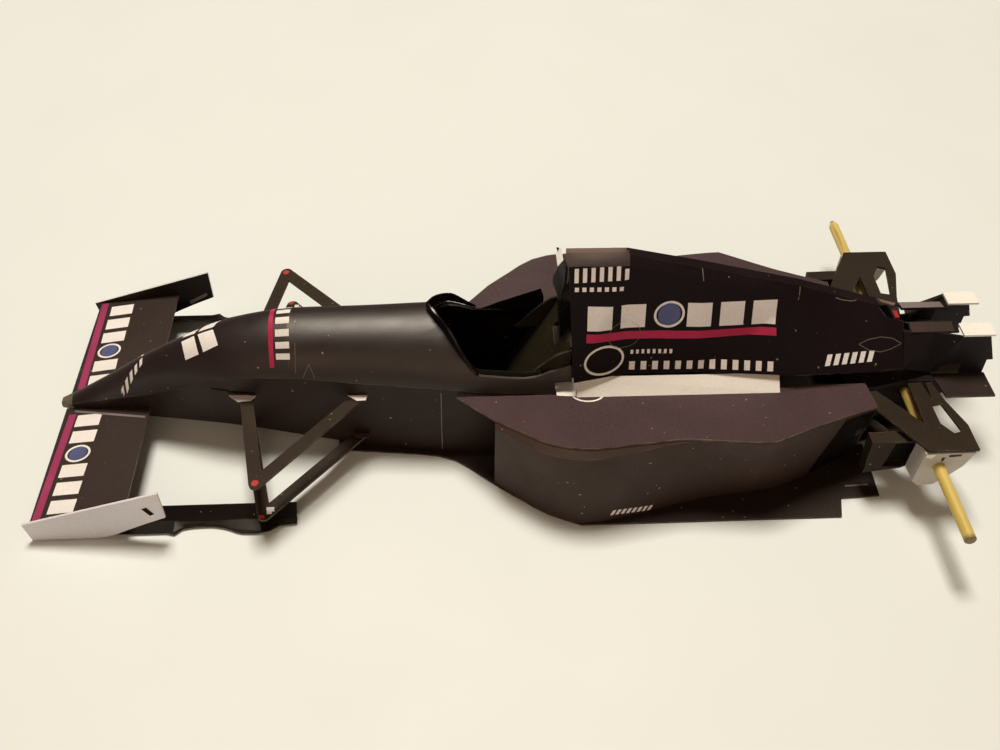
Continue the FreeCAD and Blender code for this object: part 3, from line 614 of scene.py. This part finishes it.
for side_name, side in SIDES.items():
    flank = from_side(side)
    top = from_above(side)
    tag = "_" + side_name

    # engine cover: crimson stripe, plain blocks, rings and disc, guide outlines and folds
    cover = ["engine_cover", "airbox_front"]
    lay("cover_stripe" + tag, [[(96.5, 25.1), (111.5, 24.3), (111.4, 25.7), (96.5, 26.6)],
                               [(111.5, 24.3), (130.3, 23.9), (130.2, 25.1), (111.4, 25.7)]],
        flank, cover, "crimson")
    wide = row(6, (96.6, 27.1), (130.0, 25.6), 4.1, 0.74)
    lay("cover_blocks_large" + tag, wide[:2] + wide[3:] + ring((110.9, 28.6), (2.5, 2.15), 0.42),
        flank, cover, "cream")
    lay("cover_disc" + tag, disc((110.9, 28.6), 2.0), flank, cover, "blue")
    lay("cover_blocks_top" + tag, row(7, (94.2, 35.0), (103.4, 35.3), 2.3, 0.5)
        + row(7, (94.3, 33.6), (102.6, 33.5), 0.7, 0.55), flank, cover, "cream")
    lay("cover_ring" + tag, ring((99.8, 21.45), (3.4, 2.5), 0.42), flank, cover, "cream")
    lay("cover_blocks_small" + tag, row(8, (104.5, 21.9), (111.9, 21.7), 0.75, 0.5)
        + row(13, (104.4, 19.0), (130.0, 18.5), 1.5, 0.5), flank, cover, "cream")
    lay("cover_blocks_rear" + tag, row(6, (139.4, 18.8), (148.2, 18.7), 1.5, 0.6, 0.5),
        flank, cover, "pale")
    lay("cover_guides" + tag,
        ring((103.2, 25.6), (2.85, 2.35), 0.10)
        + stroke([(145.7, 21.25), (147.4, 21.75), (149.8, 21.9), (152.2, 21.3), (154.0, 20.3),
                  (151.9, 19.9), (149.9, 19.85), (147.6, 20.3)], 0.11, shut=True)
        + stroke([(140.9, 28.45), (142.2, 27.95), (144.0, 27.5), (146.0, 27.3)], 0.11),
        flank, cover, "guide")
    lay("cover_folds" + tag, stroke([(116.2, 35.6), (116.4, 34.0)], 0.16)
        + stroke([(134.1, 30.9), (133.7, 29.2)], 0.14), flank, cover, "seam")

    # sidepod: fold line, ring and white edge on the top, white flap up to the cover, painted
    # shade on the tail where the wall curves in, and a small row low on the wall
    pod_top, pod_wall = ["sidepod_top" + tag], ["sidepod_side" + tag]
    lay("pod_line" + tag, stroke([(130.6, 10.75), (140.0, 10.1), (148.6, 9.9)], 0.16),
        top, pod_top, "guide")
    lay("pod_ring" + tag, ring((97.2, 10.5), (2.9, 2.3), 0.36, 25, 155, 16),
        top, pod_top, "cream")
    lay("pod_white_edge" + tag, band((91.7, 97.0, 101.0), (9.7, 9.7, 9.7), (11.0, 11.6, 11.7)),
        top, pod_top, "white")
    sheet("cover_flap" + tag, [(95.2, side * 9.0, 17.85), (95.2, side * 11.6, 15.36),
                               (131.4, side * 11.7, 15.32), (131.4, side * 9.0, 17.6)],
          THIN_SCRAP, "white")
    # painted shade: the tail of the wall, where it curves in, is darkened
    lay("pod_tail_painted_shade" + tag, [[(138.0, 0.6), (150.0, 0.6), (150.0, 15.4), (141.5, 15.4)]],
        flank, pod_wall, "dark")
    lay("pod_blocks" + tag, row(8, (100.4, 1.7), (107.8, 0.75), 1.15, 0.6, 0.5),
        flank, pod_wall, "cream")

    # nose and tub: band over the nose with its blocks, plain plates, seams and a guide mark
    nose = ["nose_tip", "nose_cone", "cockpit_cowl"]
    over = from_round(side, BAND_AXIS)
    lay("nose_band" + tag, [[(41.7, 0), (42.5, 0), (42.5, 68), (41.7, 68)]],
        over, nose, "crimson")
    lay("nose_band_blocks" + tag, [[(42.9, turn), (45.3, turn), (45.3, turn + 8.5),
                                    (42.9, turn + 8.5)] for turn in (3, 18, 33, 48)],
        over, nose, "cream")
    lay("nose_plates" + tag, [[(25.6, 0.5), (28.0, 0.3), (29.0, 3.4), (26.4, 3.3)],
                              [(28.7, 0.3), (31.6, 0.3), (32.7, 3.2), (29.9, 3.4)]],
        top, nose, "pale")
    lay("nose_blocks_small" + tag, row(5, (13.0, 2.6), (17.8, 0.2), 1.1, 0.55),
        top, nose, "cream")
    tub = ["tub_front", "tub_rear"]
    lay("tub_seam" + tag, stroke([(71.3, 15.4), (71.1, 0.7)], 0.13), flank, tub, "seam")
    lay("cowl_guide" + tag, stroke([(47.3, 18.2), (48.5, 20.4), (49.4, 18.1)], 0.12),
        flank, nose, "guide")
    lay("cowl_seam" + tag, stroke([(46.1, 18.9), (46.2, 21.0), (46.3, 23.4)], 0.12),
        flank, nose, "seam")

    # front wing: rose stripe behind a dark margin, pale blocks, disc, light strip at the nose
    wing = ["front_wing" + tag]
    lay("wing_stripe" + tag, [[(2.1, 3.2), (3.5, 3.2), (2.9, 27.2), (1.5, 27.2)]],
        top, wing, "rose")
    lay("wing_blocks" + tag, [[(3.9, y), (8.5, y + 0.1), (8.4, y + 2.9), (3.8, y + 2.8)]
                              for y in (3.6, 7.5, 15.3, 19.2, 23.1)]
        + ring((6.1, 12.9), (2.1, 1.75), 0.42), top, wing, "pale")
    lay("wing_disc" + tag, disc((6.1, 12.9), 1.6), top, wing, "blue")
    lay("wing_root_strip" + tag, [[(3.0, 2.2), (17.0, 5.6), (17.0, 6.1), (3.0, 2.7)]],
        top, wing, "lit")

    # endplate: light patch inside, slot mark outside
    plate = ["endplate" + tag]
    lay("endplate_patch" + tag, [[(19.3, 3.9), (23.2, 6.2), (23.2, 7.0), (19.3, 4.9)]],
        from_middle(side), plate, "lit")
    lay("endplate_slot" + tag, [[(20.9, 8.3), (21.8, 8.7), (22.7, 6.8), (21.9, 6.4)]],
        flank, plate, "dark")

    # front arms: red glue dots at the hubs, tabs at the roots, dark slots in the tub
    upper, lower = ["front_wishbone_upper" + tag], ["front_wishbone_lower" + tag]
    lay("hub_dot_upper" + tag, disc((40.3, 26.5), 0.62), top, upper, "red_dot")
    lay("hub_dot_lower" + tag, disc((40.0, 27.2), 0.62), top, lower, "red_dot")
    lay("hub_tab" + tag, [[(40.7, 25.0), (42.0, 25.0), (42.2, 26.4), (40.9, 26.5)]],
        top, lower, "white")
    for place, outline, z, ink in (
            ("upper_front", [(33.3, 6.6), (38.3, 6.7), (37.4, 8.0), (35.1, 8.2)], 12.62, "cream"),
            ("upper_rear", [(54.7, 8.7), (58.2, 8.7), (58.0, 9.9), (56.4, 10.0)], 14.10, "cream"),
            ("lower_front", [(33.9, 6.0), (36.9, 6.2), (36.6, 7.3), (34.6, 7.3)], 4.20, "plum"),
            ("lower_rear", [(54.6, 9.0), (58.0, 9.1), (57.6, 10.1), (55.4, 10.1)], 4.02, "plum")):
        sheet("root_tab_" + place + tag, [(u, side * y, z) for u, y in outline], SCRAP, ink)
    lay("tub_slots" + tag, stroke([(30.4, 14.2), (33.4, 13.9)], 0.5)
        + stroke([(33.2, 13.5), (38.2, 13.5)], 0.55), flank, tub, "dark")

    # footplate lip, rear strips with painted light, skirts (by the bulkhead a dark sheet in place
    # of shade), painted shade in the duct's niche, marks and glue on the upright
    lay("footplate_lip" + tag, band((24.5, 26.0, 30.7, 35.6, 39.0, 42.0, 45.4), (25.5,) * 7,
                                    (27.4, 26.5, 26.1, 27.3, 27.7, 26.9, 26.2)),
        top, ["footplate" + tag], "lip")
    # painted light on the fin strips: a sheen on the left fin; on the right fin the bare inner
    # face, painted in the grey it shows in shade
    lay("fin_strip_painted_light" + tag, [[(155.8, 1.9), (163.6, 1.9), (163.6, 3.9), (155.8, 3.9)]],
        top, ["rear_fin" + tag], "brown" if side > 0 else "lit")
    sheet("fin_skirt" + tag, [(161.5, side * 5.75, 13.0), (166.9, side * 5.75, 13.0),
                              (166.9, side * 5.75, 15.7), (161.5, side * 5.75, 15.7)],
          SCRAP, "brown")
    # a dark sheet standing in for shade: it hides the white glue flange seen through the gap by
    # the headrest
    sheet("bulkhead_shade_sheet" + tag, [(92.7, side * 3.2, 12.0), (94.6, side * 7.3, 12.0),
                                   (94.6, side * 7.3, 19.6), (92.7, side * 3.2, 19.6)],
          SCRAP, "dark")
    # painted shade in the recess of the brake duct
    lay("duct_niche_painted_shade" + tag, [[(149.7, 13.1), (155.0, 13.1), (153.4, 7.5), (149.3, 7.1)]],
        flank, ["brake_duct" + tag], "dark")
    lay("upright_marks" + tag, [[(157.4, 14.3), (159.6, 14.4), (159.5, 13.9), (157.5, 13.7)],
                                [(156.3, 13.6), (156.9, 13.7), (156.8, 12.7), (156.4, 12.7)]],
        flank, ["rear_upright" + tag], "brown")
    lay("upright_glue" + tag, [[(153.4, 14.5), (155.1, 14.5), (154.6, 13.5), (153.5, 13.7)]],
        flank, ["rear_upright" + tag], "white")
    lay("pod_mark" + tag, [[(145.2, 10.2), (146.4, 10.3), (146.7, 8.2), (145.5, 8.0)]],
        flank, pod_wall, "brown", lift=2 * LIFT)
    lay("floor_glint" + tag, stroke([(144.3, 21.6), (148.6, 21.4)], 0.35),
        top, ["floor_plate"], "lit")

# loose scraps around the cockpit; the liner's far edge has come loose and stands up
sheet("airbox_curl", [(91.5, -1.7, 37.2), (91.5, 1.7, 37.2), (92.3, 1.7, 38.5),
                      (92.3, -1.7, 38.5)], SCRAP, "white")
sheet("seat_fill", [(91.9, -2.3, 19.5), (91.9, 2.3, 19.5), (94.2, 2.3, 19.7),
                    (94.2, -2.3, 19.7)], THIN_SCRAP, "lip")
sheet("liner_curl", [(77.0, -8.5, 17.6), (90.6, -8.5, 17.4), (90.6, -8.5, 21.2),
                     (90.0, -8.5, 23.2), (82.5, -8.5, 20.2)], SCRAP, "dark")
# painted shade on the right glue flange, where it shows through the gap by the headrest
lay("flange_painted_shade", [[(91.5, 6.1), (95.4, 6.1), (95.4, 9.5), (91.5, 9.5)]],
    from_above(SIDES["right"]), ["glue_flange_right"], "dark")


# floor

FLOOR_REACH = 3                       # m to each side
FADE = (0.16, 0.60)                   # m from the middle; the floor pales between these

floor_mesh = bpy.data.meshes.new("floor")
floor_mesh.from_pydata([(x * FLOOR_REACH, y * FLOOR_REACH, 0)
                        for x, y in ((-1, -1), (1, -1), (1, 1), (-1, 1))], [], [(0, 1, 2, 3)])
floor = bpy.data.objects.new("floor", floor_mesh)
scene.collection.objects.link(floor)
table = Graph("floor_paper")
shade = table.mix(table.ramp(table.noise(3.0, 2.0), 0.3, 0.7), (0.82, 0.895, 0.945),
                  (0.80, 0.875, 0.925))
table.feed(table.shader.inputs["Base Color"], shade)
table.feed(table.shader.inputs["Roughness"],
           table.ramp(table.noise(40, 2.0), 0.3, 0.7, 0.55, 0.65))
away = table.add("ShaderNodeVectorMath", operation="LENGTH")
table.feed(away.inputs[0], table.place)
glow = table.add("ShaderNodeEmission")
glow.inputs["Color"].default_value = BACKDROP
faded = pale_behind(table.tree, table.shader.outputs[0],
                    table.ramp(away.outputs["Value"], *FADE), glow.outputs[0])
table.feed(table.tree.nodes["Material Output"].inputs["Surface"], faded)
floor_mesh.materials.append(table.material)
